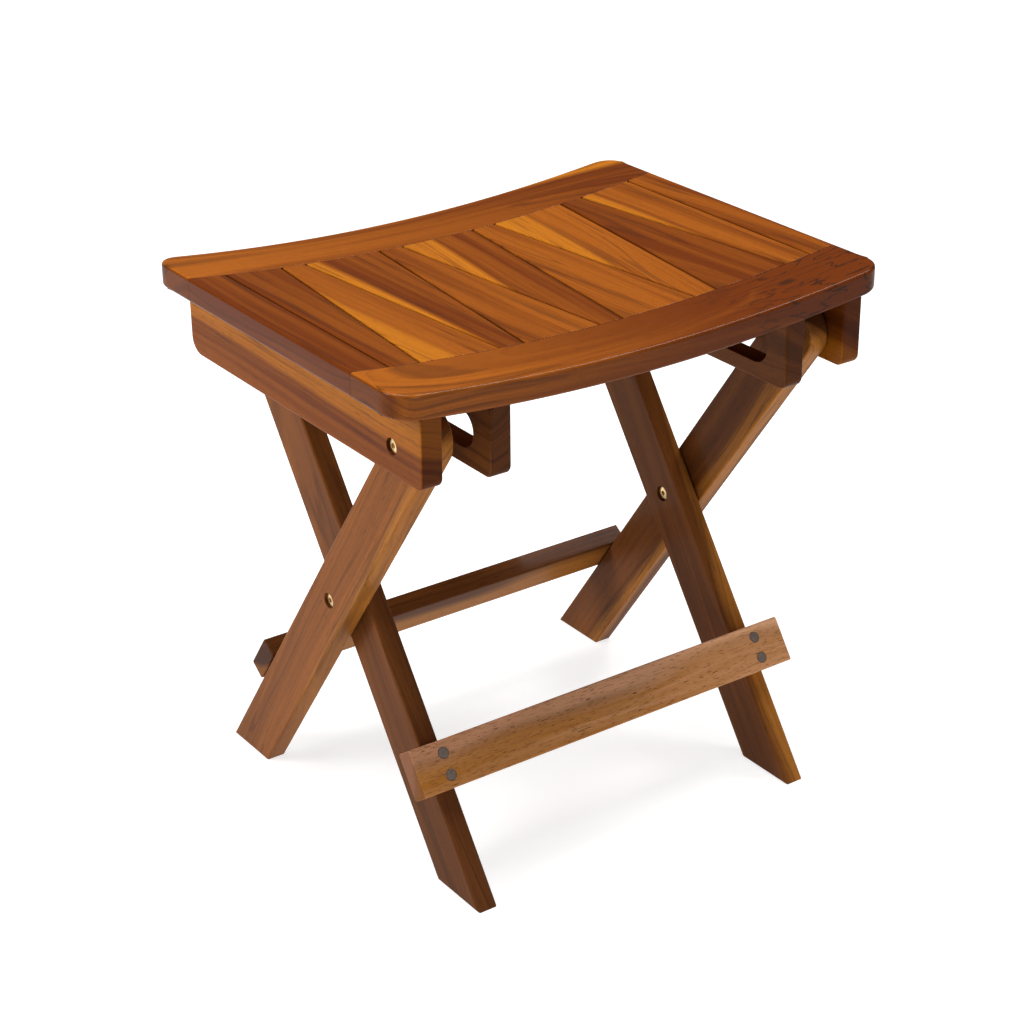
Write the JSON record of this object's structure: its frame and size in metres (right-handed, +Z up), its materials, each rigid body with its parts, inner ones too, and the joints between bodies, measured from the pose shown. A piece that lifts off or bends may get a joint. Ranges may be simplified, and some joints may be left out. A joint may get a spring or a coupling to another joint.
{
  "type": "folding shower stool",
  "caption": "Folding teak shower stool with a dished, slatted seat on crossed legs, two stretchers and a slotted cleat at each end that the inner legs' crossbar slides in.",
  "frame": {"origin": "on the floor, under the middle of the seat", "axes": "+X along the seat's long, curved direction to the right, +Y from the front to the back, +Z up"},
  "size_m": [0.457, 0.3579, 0.45],
  "materials": {
    "seat_teak": "satin oiled",
    "apron_teak": "satin oiled",
    "leg_teak": "satin oiled",
    "stretcher_teak": "satin, open pored",
    "plug_wood": "satin",
    "brass": "satin",
    "washer_nylon": "matte",
    "screw_steel": "brushed"
  },
  "bodies": {
    "seat": {"apron_left": "apron_teak", "apron_right": "apron_teak", "hinge_bolt_left": "brass", "hinge_bolt_right": "brass", "hinge_nut_left": "brass", "hinge_nut_right": "brass", "hinge_washer_left": "washer_nylon", "hinge_washer_right": "washer_nylon", "seat_back_rail": "seat_teak", "seat_end_slat_left": "seat_teak", "seat_end_slat_right": "seat_teak", "seat_front_rail": "seat_teak", "seat_screw_left_1": "screw_steel", "seat_screw_left_2": "screw_steel", "seat_screw_left_3": "screw_steel", "seat_screw_left_4": "screw_steel", "seat_screw_right_1": "screw_steel", "seat_screw_right_2": "screw_steel", "seat_screw_right_3": "screw_steel", "seat_screw_right_4": "screw_steel", "seat_slat_1": "seat_teak", "seat_slat_2": "seat_teak", "seat_slat_3": "seat_teak", "seat_slat_4": "seat_teak", "seat_slat_5": "seat_teak", "seat_slat_6": "seat_teak", "seat_slat_7": "seat_teak", "seat_slat_8": "seat_teak", "seat_slat_9": "seat_teak", "slotted_cleat_left": "apron_teak", "slotted_cleat_right": "apron_teak"},
    "outer_legs": {"back_plug_1": "plug_wood", "back_plug_2": "plug_wood", "back_plug_3": "plug_wood", "back_plug_4": "plug_wood", "back_stretcher": "stretcher_teak", "back_stretcher_screw_1": "screw_steel", "back_stretcher_screw_2": "screw_steel", "back_stretcher_screw_3": "screw_steel", "back_stretcher_screw_4": "screw_steel", "outer_leg_left": "leg_teak", "outer_leg_right": "leg_teak", "cross_bolt_left": "brass", "cross_bolt_right": "brass", "cross_nut_left": "brass", "cross_nut_right": "brass", "cross_washer_left": "washer_nylon", "cross_washer_right": "washer_nylon"},
    "inner_legs": {"crossbar": "leg_teak", "front_plug_1": "plug_wood", "front_plug_2": "plug_wood", "front_plug_3": "plug_wood", "front_plug_4": "plug_wood", "front_stretcher": "stretcher_teak", "front_stretcher_screw_1": "screw_steel", "front_stretcher_screw_2": "screw_steel", "front_stretcher_screw_3": "screw_steel", "front_stretcher_screw_4": "screw_steel", "inner_leg_left": "leg_teak", "inner_leg_right": "leg_teak"}
  },
  "joints": [
    {"name": "leg_fold", "type": "hinge", "parent": "seat", "child": "outer_legs", "pos_m": [0, -0.1365, 0.39355], "axis": [-1, 0, 0], "range_deg": [0, 34.5]},
    {"name": "leg_cross", "type": "hinge", "parent": "outer_legs", "child": "inner_legs", "pos_m": [0, -0.003, 0.2065], "axis": [1, 0, 0], "range_deg": [0, 69]}
  ],
  "couplings": [
    {"joint": "leg_cross", "follows": "leg_fold", "ratio": 2}
  ]
}
